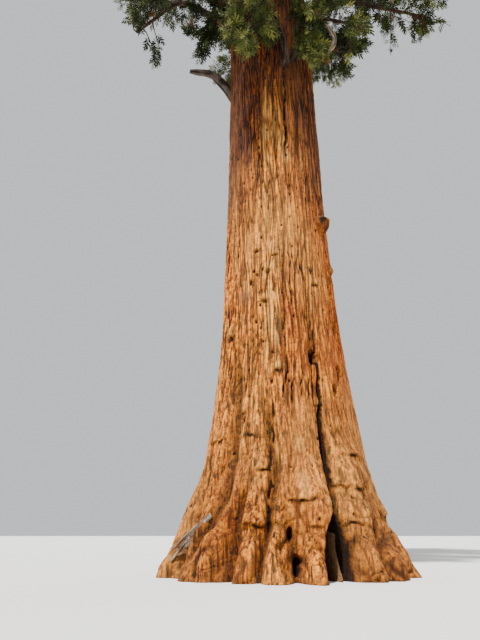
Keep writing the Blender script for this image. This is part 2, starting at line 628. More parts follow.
def closed_skin(name, rings, normals=None, marks=None, tip=0.0):
    """A closed mesh through rings of points, from the lowest up, with a fan over each end. The
    marks become attributes of its points, and the last fan rises by `tip` to a blunt point."""
    count, columns = rings.shape[:2]
    here = np.arange(count * columns).reshape(count, columns)
    beside = np.roll(here, -1, axis=1)
    quads = np.stack([here[:-1], beside[:-1], beside[1:], here[1:]], axis=-1).reshape(-1, 4)
    first, last = count * columns, count * columns + 1
    first_fan = [(int(b), int(a), first) for a, b in zip(here[0], beside[0])]
    last_fan = [(int(a), int(b), last) for a, b in zip(here[-1], beside[-1])]
    heading = rings[-1].mean(axis=0) - rings[-2].mean(axis=0)
    heading /= np.linalg.norm(heading)
    ends = [rings[0].mean(axis=0), rings[-1].mean(axis=0) + tip * heading]
    points = np.concatenate([rings.reshape(-1, 3), ends])
    mesh = bpy.data.meshes.new(name)
    mesh.from_pydata(points.tolist(), [], quads.tolist() + first_fan + last_fan)
    mesh.shade_smooth()
    if normals is not None:
        end_normals = np.array([-heading, heading])
        all_normals = np.concatenate([normals.reshape(-1, 3), end_normals])
        mesh.normals_split_custom_set_from_vertices(all_normals.tolist())
    for mark, values in (marks or {}).items():
        attribute = mesh.attributes.new(mark, "FLOAT", "POINT")
        attribute.data.foreach_set("value", np.append(values.ravel(), [0, 0]).astype(np.float32))
    return mesh


def piece_of(mesh, material, slot, *nodes):
    """Puts a finished mesh in the scene, on the tree's one body, in place of CAD nodes."""
    piece = bpy.data.objects.new(mesh.name, mesh)
    bpy.context.scene.collection.objects.link(piece)
    mesh.materials.clear()
    mesh.materials.append(material)
    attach(piece, "root")
    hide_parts(*nodes)
    return piece


def linear(hex_colour):
    """A linear colour from an sRGB hex value."""
    shades = [int(hex_colour[i:i + 2], 16) / 255 for i in (1, 3, 5)]
    return *(s / 12.92 if s <= 0.04045 else ((s + 0.055) / 1.055) ** 2.4 for s in shades), 1.0


def add_node(tree, kind, inputs=None, stops=(), **settings):
    """Adds a node with its settings, a value or a link for its inputs, and a ramp's stops."""
    node = tree.nodes.new(kind)
    for name, value in settings.items():
        setattr(node, name, value)
    for socket, given in (inputs or {}).items():
        if isinstance(given, bpy.types.NodeSocket):
            tree.links.new(given, node.inputs[socket])
        else:
            node.inputs[socket].default_value = given
    for index, (position, colour) in enumerate(stops):
        elements = node.color_ramp.elements
        stop = elements[index] if index < 2 else elements.new(position)
        stop.position, stop.color = position, colour
    return node


def matt_material(name, colour, roughness, specular=None):
    """A plain material, and its shader."""
    material = bpy.data.materials.new(name)
    material.use_nodes = True
    shader = material.node_tree.nodes["Principled BSDF"]
    if colour:
        shader.inputs["Base Color"].default_value = linear(colour)
    shader.inputs["Roughness"].default_value = roughness
    if specular is not None:
        shader.inputs["Specular IOR Level"].default_value = specular
    return material, shader


def mixed(tree, base, top, share, blend="MIX"):
    """Mixes a colour over another by a share."""
    return add_node(tree, "ShaderNodeMix", {0: share, MIX_A: base, MIX_B: top},
                    data_type="RGBA", blend_type=blend).outputs[MIX_RESULT]


def noise_texture(tree, place, scale, detail, **further):
    return add_node(tree, "ShaderNodeTexNoise", {
        "Vector": place, "Scale": scale, "Detail": detail, **further,
    }).outputs["Fac"]


def ramp(tree, source, stops, colours):
    """A colour ramp through some of a bark's colours."""
    stops = [(place, linear(colours[colour])) for colour, place in stops]
    return add_node(tree, "ShaderNodeValToRGB", {"Fac": source}, stops).outputs[0]


def attribute(tree, name):
    return add_node(tree, "ShaderNodeAttribute", attribute_name=name).outputs["Fac"]


# Mix nodes keep their colour sockets at these places.
MIX_A, MIX_B, MIX_RESULT = 6, 7, 2

# The noises of the fibres, the flakes and the patches of rust, where the colours lie in them, and
# how large the flakes and patches are for the fibres' width.
FIBRE_NOISE = {"detail": 5, "Roughness": 0.62, "Distortion": 0.4}
FLAKE_NOISE = {"detail": 5, "Roughness": 0.65}
RUST_NOISE = {"detail": 3}
RUST_RANGE = {"From Min": 0.42, "From Max": 0.66, "To Max": 0.55}
FIBRE_STOPS = [("dark", 0.38), ("fibre_dark", 0.44), ("fibre", 0.49), ("fibre_light", 0.55)]
FLAKE_STOPS = [("flake_dark", 0.41), ("flake_light", 0.52)]
FLAKE_SHARE = 0.85
FLAKES_TO_FIBRE = 0.6
PATCHES_TO_FIBRE = 0.06

# How strong each mark is, and how much less of it shows between the fibres.
MARKS = [("pale", 0.75, -0.6), ("grey", 0.8, -0.6), ("dark", 0.98, -0.3)]
MARK_BREAKS = 3.0
WEATHERED_TINT = "#98857e"
MATT_SPECULAR = 0.2
BARK_ROUGHNESS = {"To Min": 0.86, "To Max": 1.0}
BARK_BUMP = 0.8


def bark_material(name, colours, fibre_width, fibre_stretch, bump_depth):
    """Fibrous bark: long fibres, flaky mottling, and the marks that the relief carries."""
    material, shader = matt_material(name, None, 1.0, MATT_SPECULAR)
    tree = material.node_tree
    place = add_node(tree, "ShaderNodeTexCoord").outputs["Object"]
    along = add_node(tree, "ShaderNodeMapping", {
        "Scale": (1, 1, 1 / fibre_stretch), "Vector": place,
    }).outputs[0]
    fibres = noise_texture(tree, along, 1 / fibre_width, **FIBRE_NOISE)
    flakes = noise_texture(tree, place, FLAKES_TO_FIBRE / fibre_width, **FLAKE_NOISE)
    rusty = noise_texture(tree, along, PATCHES_TO_FIBRE / fibre_width, **RUST_NOISE)

    colour = mixed(tree, ramp(tree, fibres, FIBRE_STOPS, colours),
                   ramp(tree, flakes, FLAKE_STOPS, colours), FLAKE_SHARE, "MULTIPLY")
    rust = add_node(tree, "ShaderNodeMapRange", {"Value": rusty, **RUST_RANGE}).outputs[0]
    colour = mixed(tree, colour, linear(colours["rust"]), rust)
    for mark, most, less in MARKS:
        broken = add_node(tree, "ShaderNodeMath", {0: fibres, 1: MARK_BREAKS, 2: less},
                          operation="MULTIPLY_ADD").outputs[0]
        share = add_node(tree, "ShaderNodeMath", {0: attribute(tree, mark), 1: broken},
                         operation="MULTIPLY", use_clamp=True).outputs[0]
        share = add_node(tree, "ShaderNodeMath", {0: share, 1: most},
                         operation="MULTIPLY").outputs[0]
        colour = mixed(tree, colour, linear(colours[mark]), share)
    colour = mixed(tree, colour, linear(WEATHERED_TINT), attribute(tree, "weathered"), "MULTIPLY")
    tree.links.new(colour, shader.inputs["Base Color"])
    rough = add_node(tree, "ShaderNodeMapRange", {"Value": flakes, **BARK_ROUGHNESS})
    tree.links.new(rough.outputs[0], shader.inputs["Roughness"])
    relief = add_node(tree, "ShaderNodeMath", {0: fibres, 1: flakes}, operation="ADD").outputs[0]
    bump = add_node(tree, "ShaderNodeBump", {
        "Strength": BARK_BUMP, "Distance": bump_depth, "Height": relief,
    })
    tree.links.new(bump.outputs[0], shader.inputs["Normal"])
    return material


def bark_colours(*shades):
    """A bark's colours, from its fibres and flakes to its marks."""
    names = "fibre_dark fibre fibre_light flake_dark flake_light rust pale grey dark".split()
    return dict(zip(names, shades))


# Old sequoia bark is fibrous, soft and matt: cinnamon and orange tan where it is fresh, cream
# where it has flaked, near black in the furrows, and darker and redder in the crown's shade.
# Its fibre strands are drawn about 60 mm wide, coarser than life, so that they show.
BARK_COLOURS = bark_colours("#6e2c04", "#d2740f", "#ffae3c", "#7c441a", "#ffe0a4", "#984206",
                            "#ffc266", "#7d6652", "#140702")
trunk_bark = bark_material("fibrous_sequoia_bark", BARK_COLOURS, fibre_width=0.06,
                           fibre_stretch=13, bump_depth=0.08)

# The bark is meshed in four lengths, finest at the foot, where it is seen from closest.
Section = namedtuple("Section", "name low high rows columns")
BARK_SECTIONS = rows(
    Section,
    ("bark_foot", 0.0, 3.0, 120, 600), ("bark_lower_shaft", 3.0, 9.0, 150, 600),
    ("bark_upper_shaft", 9.0, 17.5, 140, 600), ("bark_in_crown", 17.5, TRUNK_TOP, 170, 300),
)
NORMAL_STEP = 0.03


def bark_points(bearing, z):
    radius, marks = bark_surface(bearing, z)
    return trunk_axis(z) + radius[..., None] * outward(bearing), marks


for section in BARK_SECTIONS:
    heights = np.linspace(section.low, section.high, section.rows + 1)[:, None]
    bearings = (np.arange(section.columns) * 360 / section.columns - 180)[None, :]
    points, marks = bark_points(bearings, heights)
    above = bark_points(bearings, heights + NORMAL_STEP)[0]
    below = bark_points(bearings, np.maximum(heights - NORMAL_STEP, 0))[0]
    normals = np.cross(np.roll(points, -1, axis=1) - np.roll(points, 1, axis=1), above - below)
    normals /= np.linalg.norm(normals, axis=-1, keepdims=True)
    piece_of(closed_skin(section.name, points, normals, marks), trunk_bark, "bark", "trunk")

# Dead limbs.
# Two limbs that died long ago: a dark stub on the left, snapped off in a jagged end, and a pale
# one on the right, without bark, that hooks back at its tip. They are part of the trunk's wood.
Curve = namedtuple("Curve", "point_on lengths")
CURVE_DIVISIONS = 200
TANGENT_STEP = 0.0001


def unit(vector):
    return vector / np.linalg.norm(vector)


def measured(point_on):
    """A curve with its lengths from the start, so that it can be walked evenly."""
    points = np.array([point_on(i / CURVE_DIVISIONS) for i in range(CURVE_DIVISIONS + 1)])
    steps = np.linalg.norm(np.diff(points, axis=0), axis=1)
    return Curve(point_on, np.append(0, np.cumsum(steps)))


def curve_step(curve, share):
    divisions = np.linspace(0, 1, CURVE_DIVISIONS + 1)
    return np.interp(share * curve.lengths[-1], curve.lengths, divisions)


def point_along(curve, share):
    """The point at a share of a curve's length."""
    return curve.point_on(curve_step(curve, share))


def heading_along(curve, share):
    """The direction of a curve at a share of its length."""
    step = curve_step(curve, share)
    before = curve.point_on(max(step - TANGENT_STEP, 0))
    return unit(curve.point_on(min(step + TANGENT_STEP, 1)) - before)


def bent_curve(start, start_control, end_control, end):
    """A limb's curve that leaves its start and reaches its end in line with its two controls."""
    def point_on(t):
        return ((1 - t) ** 3 * start + 3 * (1 - t) ** 2 * t * start_control
                + 3 * (1 - t) * t**2 * end_control + t**3 * end)
    return measured(point_on)


def curve_through(points):
    """A limb's curve through a few points, with knots set by the square root of their spacing."""
    points = [np.array(p, float) for p in points]
    points = [2 * points[0] - points[1], *points, 2 * points[-1] - points[-2]]

    def point_on(t):
        place = t * (len(points) - 3)
        first = min(int(place), len(points) - 4)
        p = points[first:first + 4]
        knots = np.cumsum([0] + [np.linalg.norm(b - a) ** 0.5 for a, b in zip(p, p[1:])])
        at = knots[1] + (place - first) * (knots[2] - knots[1])

        def between(a, b, low, high):
            return ((knots[high] - at) * a + (at - knots[low]) * b) / (knots[high] - knots[low])
        lows = [between(p[i], p[i + 1], i, i + 1) for i in range(3)]
        mids = [between(lows[i], lows[i + 1], i, i + 2) for i in range(2)]
        return between(mids[0], mids[1], 1, 2)
    return measured(point_on)


def point_at(bearing, distance, z):
    return trunk_axis(z) + distance * outward(np.float64(bearing))


# How the bark or grain stands out round a limb: shares of its radius.
LIMB_RIDGES = 0.09
LIMB_RIDGE_LENGTH = 0.5
LIMB_GRAIN = 0.05
LIMB_GRAIN_LENGTH = 0.22
LIMB_SEAM = (0.31, 0.17, 0.93)
COLLAR_SWELL = 0.55
COLLAR_LENGTH = 0.45
TORN_THINNING = 0.55
TORN_REACH = 0.6
LEAST_SPLIT = 0.001
LIMB_FURROW_SLOPE = 2.2
LIMB_FURROW_SHADE = 0.7
LIMB_PALE_SLOPE = 1.5
LIMB_PALE_MOST = 0.6
LIMB_GREY_BASE = 0.3
LIMB_GREY_MOST = 0.8


def limb_rings(curve, root_radius, tip_radius, sides, steps, seed, collar=COLLAR_SWELL, split=0.0):
    """Rings round a tapering limb, with ridges along it, a collar where it leaves the trunk, and
    an end whose fibres are torn off over a length of `split`. Returns also the marks."""
    shares = np.linspace(0, 1, steps + 1)
    length = curve.lengths[-1]
    turn = np.arange(sides) / sides
    seam = unit(np.cross(heading_along(curve, 0), LIMB_SEAM))
    z = (shares * length)[:, None]
    ridges = closed_noise(turn[None, :], z, max(sides // 4, 3), LIMB_RIDGE_LENGTH, seed)
    grain = closed_noise(turn[None, :], z, sides // 2, LIMB_GRAIN_LENGTH, seed + 1)
    spikes = np.abs(closed_noise(turn, 0.0, max(sides // 3, 3), 1.0, seed + 2))
    angles = 2 * np.pi * turn
    rings = []
    for share, ridge, fine in zip(shares, ridges, grain):
        along = heading_along(curve, share)
        seam = unit(seam - seam.dot(along) * along)
        side = np.cross(along, seam)
        radius = root_radius + (tip_radius - root_radius) * share
        radius *= 1 + collar * math.exp(-share * length / COLLAR_LENGTH)
        radius = radius * (1 + LIMB_RIDGES * ridge + LIMB_GRAIN * fine)
        torn = np.clip((share - 1) * length / (split + LEAST_SPLIT) + 1, 0, 1)
        radius = radius * (1 - TORN_THINNING * torn * (1 - spikes))
        around = (radius * np.cos(angles))[:, None] * seam
        around += (radius * np.sin(angles))[:, None] * side
        ahead = (TORN_REACH * split * torn * spikes)[:, None] * along
        rings.append(point_along(curve, share) + around + ahead)
    marks = {"dark": np.clip(0.5 - LIMB_FURROW_SLOPE * ridges, 0, 1) * LIMB_FURROW_SHADE,
             "pale": np.clip(LIMB_PALE_SLOPE * grain, 0, LIMB_PALE_MOST),
             "grey": np.clip(LIMB_GREY_BASE + ridges, 0, LIMB_GREY_MOST)}
    return np.array(rings), marks


DeadLimb = namedtuple("DeadLimb", "name route root tip sides steps split seed")
STUB = DeadLimb(
    "dead_limb_left",
    [(180, 1.00, 12.85), (180, 1.45, 13.48), (180, 1.85, 13.93), (180, 2.46, 14.05)],
    root=0.150, tip=0.088, sides=28, steps=60, split=0.16, seed=201,
)
HOOK = DeadLimb(
    "dead_limb_right",
    [(8, 0.95, 14.35), (10, 1.80, 15.15), (9, 2.20, 15.80), (8, 1.90, 16.70)],
    root=0.115, tip=0.062, sides=24, steps=60, split=0.10, seed=211,
)

# Weathered limb wood: bare and silvery on the hook, charred brown and darker on the stub, with the
# grain in long fine checks about 20 mm apart.
STUB_COLOURS = bark_colours("#1f1610", "#3f2f25", "#66554a", "#8a7f78", "#ffffff", "#4a3527",
                            "#74665a", "#51463d", "#100b08")
HOOK_COLOURS = bark_colours("#6d5c4b", "#a8937c", "#d9c7ae", "#a39a8e", "#ffffff", "#8f7459",
                            "#e3d5be", "#9d9388", "#3a2e24")
LIMB_GRAIN_SIZES = {"fibre_width": 0.02, "fibre_stretch": 8, "bump_depth": 0.01}
stub_wood = bark_material("charred_limb_wood", STUB_COLOURS, **LIMB_GRAIN_SIZES)
hook_wood = bark_material("silvered_limb_wood", HOOK_COLOURS, **LIMB_GRAIN_SIZES)

# How far the broken ends come to a blunt point, and how much a splinter swells at its foot.
LIMB_POINT = 0.04
SPLINTER_POINT = 0.03
SPLINTER_SWELL = 0.2

limb_curves = {}
for limb, wood in ((STUB, stub_wood), (HOOK, hook_wood)):
    curve = curve_through([point_at(*place) for place in limb.route])
    limb_curves[limb.name] = (curve, limb.root, limb.tip)
    rings, marks = limb_rings(curve, limb.root, limb.tip, limb.sides, limb.steps, limb.seed,
                              split=limb.split)
    mesh = closed_skin(limb.name + "_wood", rings, marks=marks, tip=LIMB_POINT)
    piece_of(mesh, wood, "dead_wood", limb.name)

# Splinters of bare wood that lie over a valley of the foot, low on the left of the front.
SPLINTERS = [
    DeadLimb("splinter_long", [(-135, 2.17, 1.09), (-147, 2.34, 0.69), (-158, 2.50, 0.28)],
             root=0.050, tip=0.020, sides=14, steps=30, split=0.10, seed=221),
    DeadLimb("splinter_short", [(-138, 2.20, 1.02), (-150, 2.30, 0.76), (-162, 2.42, 0.50)],
             root=0.036, tip=0.015, sides=12, steps=24, split=0.08, seed=231),
    DeadLimb("splinter_low", [(-148, 2.22, 0.66), (-154, 2.40, 0.46), (-160, 2.52, 0.20)],
             root=0.030, tip=0.016, sides=12, steps=20, split=0.06, seed=241),
]
for splinter in SPLINTERS:
    curve = curve_through([point_at(*place) for place in splinter.route])
    rings, marks = limb_rings(curve, splinter.root, splinter.tip, splinter.sides, splinter.steps,
                              splinter.seed, collar=SPLINTER_SWELL, split=splinter.split)
    mesh = closed_skin(splinter.name + "_wood", rings, marks=marks, tip=SPLINTER_POINT)
    piece_of(mesh, hook_wood, "dead_wood", "trunk")

# Boughs.
# The living limbs: thick at the collar, bent, with plated bark. Each grows out of the trunk and
# runs on as the stem of its mass of foliage.
CROWN_FOOT = 17.3
CROWN_REACH = 5.3
CROWN_TAPER = 1.3
CROWN_ROUNDING = 0.9

# Masses that the photograph shows, each with its middle (bearing, distance from the trunk's axis,
# height), the slope and heading of its long axis, its half sizes, and the height where its bough
# or stem leaves the trunk. A mass with a root radius has a bough.
# lace thins its sprays out, droop lets them hang, and shine is how sunlit they are. A mass with
# sky below it is open under a line, given as distances from the trunk's axis and heights.
NEAR_MASSES = [
    dict(name="front_left", middle=(-108, 2.25, 13.35), tilt=-64, heading=-106,
         long=1.50, wide=0.85, start=14.60, lace=0.8, shine=0.6),
    dict(name="front_right", middle=(-46, 2.40, 14.10), tilt=-52, heading=-46,
         long=1.40, wide=0.85, start=15.10, lace=0.6),
    dict(name="front_elbow", middle=(-97, 2.70, 15.75), tilt=48, heading=-104,
         long=1.30, wide=0.90, start=12.93, root=0.100, tip=0.052, leave=-74, shine=0.7),
    dict(name="front_rise", middle=(-62, 2.50, 16.15), tilt=60, heading=-48,
         long=1.30, wide=0.95, start=13.27, root=0.092, tip=0.050, leave=-62),
    dict(name="left_near", middle=(186, 2.30, 15.45), tilt=-48, heading=184,
         long=1.55, wide=0.90, start=16.40, lace=0.5, shine=0.0,
         sky=([2.2, 2.75, 3.0], [14.2, 14.6, 16.4])),
    dict(name="left_far", middle=(179, 4.30, 15.85), tilt=-52, heading=184,
         long=1.95, wide=1.25, start=16.30, root=0.150, tip=0.070, leave=176,
         lace=1.7, droop=0.40, shine=0.0,
         sky=([2.7, 3.2, 3.5, 3.7, 4.1, 4.7, 5.6], [15.8, 15.6, 14.6, 14.5, 15.3, 15.9, 17.2])),
    dict(name="left_arch", middle=(-140, 3.05, 17.80), tilt=34, heading=-138,
         long=1.70, wide=1.25, start=15.15, root=0.125, tip=0.062, leave=-152),
    dict(name="right_near", middle=(19, 2.65, 16.05), tilt=-14, heading=16,
         long=1.35, wide=0.95, start=15.70, lace=0.5, shine=0.0,
         sky=([1.0, 2.3, 4.0], [15.6, 15.3, 15.7])),
    dict(name="right_far", middle=(1, 4.30, 16.85), tilt=-22, heading=-4,
         long=1.75, wide=1.20, start=16.35, root=0.140, tip=0.066, leave=4,
         lace=1.4, droop=0.20, shine=0.25),
    dict(name="right_big", middle=(-33, 4.30, 19.00), tilt=38, heading=-30,
         long=2.10, wide=1.70, start=15.45, root=0.185, tip=0.090, leave=-34),
]

# Ways through the leaves, from one point to another, by which the hooked limb shows.
Gap = namedtuple("Gap", "near far radius")
GAPS = [
    Gap((1.45, -2.7, 12.0), (2.05, -0.6, 14.7), 0.34),
    Gap((1.35, -2.7, 12.7), (1.90, -0.6, 15.6), 0.34),
    Gap((1.80, -0.9, 14.1), (2.15, 0.2, 15.8), 0.38),
]

# The rest of the crown in tiers, from the lowest up.
Tier = namedtuple("Tier", "count z first step long wide carried")
TIERS = rows(
    Tier,
    (3, 20.3, 60, 45, 2.30, 1.80, True), (4, 21.1, -165, 60, 2.45, 2.05, True),
    (6, 24.2, -135, 60, 2.40, 1.95, False), (6, 27.4, -105, 60, 2.25, 1.75, False),
    (5, 30.4, -150, 72, 2.15, 1.70, False), (4, 33.2, -110, 90, 1.90, 1.60, False),
    (3, 35.9, -70, 120, 1.60, 1.35, False),
)
TIER_SEED = 17
BEARING_SCATTER = 8
HEIGHT_SCATTER = 0.75
REACH_SCATTER = 0.14
HEADING_SCATTER = 12
SIZE_SCATTER = 0.08
TIER_TILT = (22, 48)
TIER_BOUGH_RADIUS = (0.150, 0.220)
TIER_BOUGH_TIP = 0.085
BOUGH_INTO_MASS = 0.86
LIMB_ROOT_DEPTH = 0.32
BOUGH_DROP = 2.5
STEM_DROP = 0.7
STEM_ROOT_SHARE = 0.042
STEM_TIP_SHARE = 0.45
STEM_TIP_RADIUS = 0.038
MASS_DEFAULTS = dict(root=None, tip=None, lace=1.0, droop=0.08, shine=0.5, sky=([0], [0]))
TOP_MASS = dict(name="top", middle=(200, 0, 38.35), tilt=90, heading=200,
                long=1.64, wide=1.40, start=TRUNK_TOP - 0.15, tip=0.110)

SERIES_MODULUS = 2147483647
SERIES_FACTOR = 48271
SEED_FACTOR = 7919
SEED_OFFSET = 104729


def seeded_series(seed):
    """A seeded series of numbers from 0 to 1, the same in any language that has whole numbers."""
    state = (seed * SEED_FACTOR + SEED_OFFSET) % SERIES_MODULUS
    while True:
        state = state * SERIES_FACTOR % SERIES_MODULUS
        yield state / SERIES_MODULUS


def crown_reach(z):
    """How far out the middle of a mass is: widest low in the crown, drawn in to the top."""
    share = max((z - CROWN_FOOT) / (TREE_HEIGHT - CROWN_FOOT), 0)
    return CROWN_REACH * (1 - share**CROWN_TAPER) ** CROWN_ROUNDING


def tier_masses():
    random = seeded_series(TIER_SEED)

    def scatter(most):
        return most * (2 * next(random) - 1)

    def between(least, most):
        return least + (most - least) * next(random)
    masses = []
    for level, tier in enumerate(TIERS):
        for k in range(tier.count):
            bearing = tier.first + tier.step * k + scatter(BEARING_SCATTER)
            z = tier.z + scatter(HEIGHT_SCATTER)
            reach = crown_reach(z) * (1 + scatter(REACH_SCATTER))
            tilt = between(*TIER_TILT)
            size = 1 + scatter(SIZE_SCATTER)
            heading = bearing + scatter(HEADING_SCATTER)
            root = between(*TIER_BOUGH_RADIUS)
            bough = dict(root=root, tip=TIER_BOUGH_TIP) if tier.carried else {}
            drop = BOUGH_DROP if tier.carried else STEM_DROP
            masses.append(dict(
                name=f"tier{level + 1}_{k + 1}", middle=(bearing, reach, z), tilt=tilt,
                heading=heading, long=tier.long * size, wide=tier.wide * size, leave=bearing,
                start=z - drop, **bough))
    return masses


def root_in_trunk(bearing, z):
    """A point well inside the trunk's skin, where a limb that leaves the trunk is rooted."""
    return point_at(bearing, (1 - LIMB_ROOT_DEPTH) * trunk_radius(bearing, z), z)


def placed_mass(order, mass):
    """A mass with its middle, its long axis and the point where its stem starts."""
    mass = SimpleNamespace(**{**MASS_DEFAULTS, "leave": mass["middle"][0], **mass}, seed=order + 1)
    tilt = math.radians(mass.tilt)
    mass.centre = point_at(*mass.middle)
    mass.axis = math.cos(tilt) * outward(np.float64(mass.heading)) + [0, 0, math.sin(tilt)]
    if mass.root:
        mass.stem_start = mass.centre - BOUGH_INTO_MASS * mass.long * mass.axis
    elif mass.tip:
        mass.stem_start = trunk_axis(mass.start)
    else:
        mass.stem_start = root_in_trunk(mass.leave, mass.start)
    return mass


MASSES = [placed_mass(*pair) for pair in enumerate([*NEAR_MASSES, *tier_masses(), TOP_MASS])]

# Bark of the limbs: thinner plates than the trunk's, greyer and darker, about 30 mm across.
LIMB_COLOURS = bark_colours("#1c100a", "#36251c", "#584137", "#87705f", "#ffffff", "#3e261b",
                            "#6f5846", "#40362f", "#0f0906")
limb_bark = bark_material("plated_limb_bark", LIMB_COLOURS, fibre_width=0.03,
                          fibre_stretch=4, bump_depth=0.015)

BOUGH_LEADS = (0.5, 0.38)
BOUGH_SEEDS_FROM = 300
BOUGH_SIDES = 24
BOUGH_RING_SPACING = 0.07
for mass in MASSES:
    if not mass.root:
        continue
    start = root_in_trunk(mass.leave, mass.start)
    span = np.linalg.norm(mass.stem_start - start)
    curve = bent_curve(start, start + BOUGH_LEADS[0] * span * outward(np.float64(mass.leave)),
                       mass.stem_start - BOUGH_LEADS[1] * span * mass.axis, mass.stem_start)
    limb_curves[mass.name] = (curve, mass.root, mass.tip)
    steps = int(curve.lengths[-1] / BOUGH_RING_SPACING)
    rings, marks = limb_rings(curve, mass.root, mass.tip, BOUGH_SIDES, steps,
                              BOUGH_SEEDS_FROM + mass.seed)
    mesh = closed_skin(f"bough_{mass.name}_bark", rings, marks=marks)
    piece_of(mesh, limb_bark, "bough_bark", f"bough_{mass.name}")

# Foliage: how it grows.
# Each mass has one stem, with twigs set round it at the golden angle. A twig ends in a plume, a
# branchlet with its sprays, and has plumes at its sides. After the twigs that the solids have,
# finer ones fill the same space.
FOLIAGE_SEED = 77
FINER_TWIGS = 9
GOLDEN_ANGLE = 137.508
OPENING_SEAM = (0.13, 0.21, 0.97)
LIMB_SAMPLES = 25
LIMB_CLEARANCE = 0.06
TWIG_TO_LIMB = 0.18
SPACE_MARGIN = 0.05
TWIG_OVERREACH = 1.02
EDGE_HALVINGS = 24
EDGE_WITHIN = 2.5
TURN_TRIES = (0, 70, -70)
SHORTER_TRIES = (1, 0.85, 0.7, 0.55)
PLUME_WIDTH = 0.34
PLUME_CORNERS = [(0.3, 0.5, 0), (0.38, 0.42, 120), (0.24, 0.55, 240),
                 (0.6, 1.0, 60), (0.72, 0.8, 180), (0.48, 1.15, 300)]
PLUME_SAMPLES = (0.3, 0.5, 0.7, 0.95)
PLUME_WIDEST = 0.5
PLUME_NARROWING = 0.6
TIP_PLUME_OPENING = 8
SIDE_PLUMES = ((0.8, 58, 0), (0.45, 66, 180))
SIDE_PLUME_LENGTH = 0.88
TWIG_OPENING = 86
TWIG_CLOSING = 36
TWIG_OPENING_SCATTER = 14
TWIG_TURN_SCATTER = 20
TWIG_SHORT_OF_EDGE = 0.85
TWIG_LEAST = 0.25
TWIG_MIDDLE = 0.6
STEM_LEAD = 0.3

Plume = namedtuple("Plume", "root heading length turn width")
Twig = namedtuple("Twig", "share start end")
# A round of growth: its count of twigs, where on the stem they stand, how long its plumes and the
# shortest of them are, how close two plumes may stand, and how far their tufts reach in the space.
Growth = namedtuple("Growth", "twigs first last longest shortest spacing overreach")
MAIN_GROWTH = Growth(5, (0.36, 0.16), 0.94, 1.9, 0.57, 0.98, 1.1)
FINER_GROWTH = Growth(FINER_TWIGS, (0.30, 0.10), 0.98, 1.35, 0.40, 0.72, 1.0)

centres = np.array([mass.centre for mass in MASSES])
axes = np.array([mass.axis for mass in MASSES])
longs = np.array([[mass.long] for mass in MASSES])
wides = np.array([[mass.wide] for mass in MASSES])
sample_points = np.array([point_along(curve, i / (LIMB_SAMPLES - 1))
                          for curve, _, _ in limb_curves.values() for i in range(LIMB_SAMPLES)])
sample_radii = np.concatenate([np.linspace(root, tip, LIMB_SAMPLES)
                               for _, root, tip in limb_curves.values()])
sample_owners = np.repeat(list(limb_curves), LIMB_SAMPLES)


def space_shares(points):
    """For each mass a row: 0 at the middle of its space and 1 at its edge, for each point."""
    offsets = np.atleast_2d(points)[None] - centres[:, None]
    along = np.einsum("mpk,mk->mp", offsets, axes)
    across = np.maximum((offsets**2).sum(axis=2) - along**2, 0)
    return np.sqrt((along / longs) ** 2 + across / wides**2)


def clear_of_trunk(points):
    offsets = points - trunk_axis(points[:, 2])
    bearings = np.degrees(np.arctan2(offsets[:, 1], offsets[:, 0]))
    heights = np.minimum(points[:, 2], TRUNK_TOP)
    reach = trunk_radius(bearings, heights) + LIMB_CLEARANCE
    away = np.hypot(offsets[:, 0], offsets[:, 1]) > reach
    return away | (points[:, 2] > TRUNK_TOP + LIMB_CLEARANCE)


def fits(mass, points, reach=TWIG_OVERREACH):
    """Whether a twig or plume keeps to its mass's own space, clear of the trunk and the limbs."""
    shares = space_shares(points)
    order = mass.seed - 1
    own = shares[order].copy()
    shares[order] = np.inf
    if (own > reach).any() or (shares < own + SPACE_MARGIN).any():
        return False
    if not clear_of_trunk(points).all():
        return False
    ways = np.linalg.norm(points[:, None] - sample_points[None], axis=2)
    touching = (ways < sample_radii + TWIG_TO_LIMB) & (sample_owners != mass.name)
    return not touching.any()


def way_to_edge(mass, point, heading):
    """How far it is from a point along a heading to the edge of a mass's space."""
    near, far = 0.0, EDGE_WITHIN * mass.long
    for _ in range(EDGE_HALVINGS):
        half = (near + far) / 2
        offset = point + half * heading - mass.centre
        along = offset.dot(mass.axis)
        across = max(offset.dot(offset) - along**2, 0)
        if (along / mass.long) ** 2 + across / mass.wide**2 < 1:
            near = half
        else:
            far = half
    return near


def opened(along, opening, turn):
    """A direction that opens away from `along` by `opening` degrees, turned about it by `turn`."""
    side = unit(np.cross(along, OPENING_SEAM))
    turn, opening = math.radians(turn), math.radians(opening)
    side = math.cos(turn) * side + math.sin(turn) * np.cross(along, side)
    return math.cos(opening) * along + math.sin(opening) * side


def plume_points(plume):
    """The corners of a plume's outline, and its tip."""
    corners = [
        plume.root + along * plume.length * plume.heading
        + out * plume.width * opened(plume.heading, 90, plume.turn + around)
        for along, out, around in PLUME_CORNERS
    ]
    return np.array([*corners, plume.root + plume.length * plume.heading])


def plumes_apart(one, others, spacing):
    """Whether a plume stays apart from all others beyond their roots."""
    if not others:
        return True
    shares = np.array(PLUME_SAMPLES)
    fatness = 1 - np.abs(shares - PLUME_WIDEST) / PLUME_NARROWING
    here = one.root + np.outer(shares * one.length, one.heading)
    there = np.array([p.root + np.outer(shares * p.length, p.heading) for p in others])
    widths = np.array([p.width for p in others])
    ways = np.linalg.norm(here[None, :, None] - there[:, None], axis=3)
    needed = (one.width * fatness)[None, :, None] + (widths[:, None] * fatness)[:, None]
    return bool((ways > spacing * needed).all())


